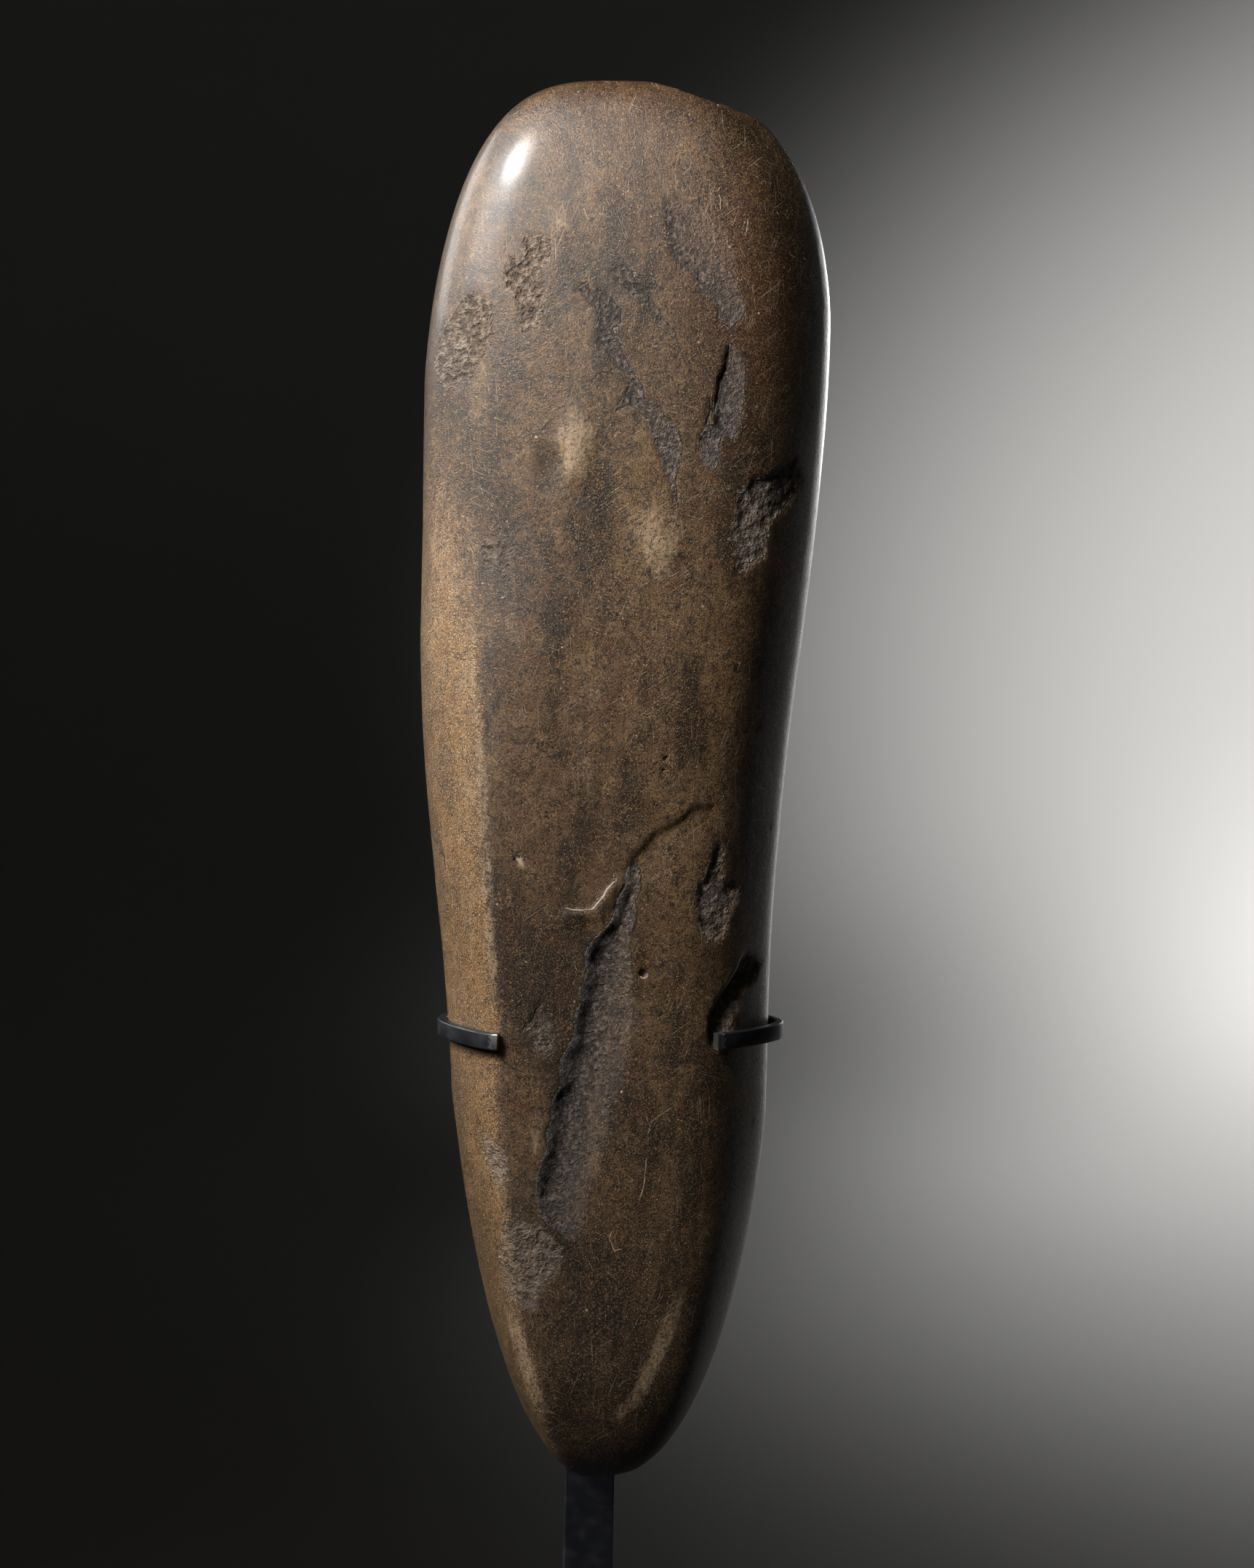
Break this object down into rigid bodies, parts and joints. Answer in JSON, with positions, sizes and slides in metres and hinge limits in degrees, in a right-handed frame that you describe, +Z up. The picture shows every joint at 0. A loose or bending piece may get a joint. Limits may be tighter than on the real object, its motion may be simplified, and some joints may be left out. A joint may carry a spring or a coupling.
{
  "type": "stone hand axe",
  "caption": "Ground stone axe blade with a tapered tip and rounded crown, held upright in a strap cradle on a flat post and foot.",
  "frame": {"origin": "centre of the foot's underside, which is the bottom centre of the whole part's box", "axes": "+Z up along the blade from tip to crown; the blade's broad front face looks towards -Y; +X to the right seen from the front"},
  "size_m": [0.12, 0.11, 0.4],
  "materials": {
    "ground_stone": "satin",
    "black_paint": "satin"
  },
  "bodies": {
    "root": {"stone": "ground_stone", "cradle": "black_paint", "post": "black_paint", "foot": "black_paint"}
  },
  "joints": []
}
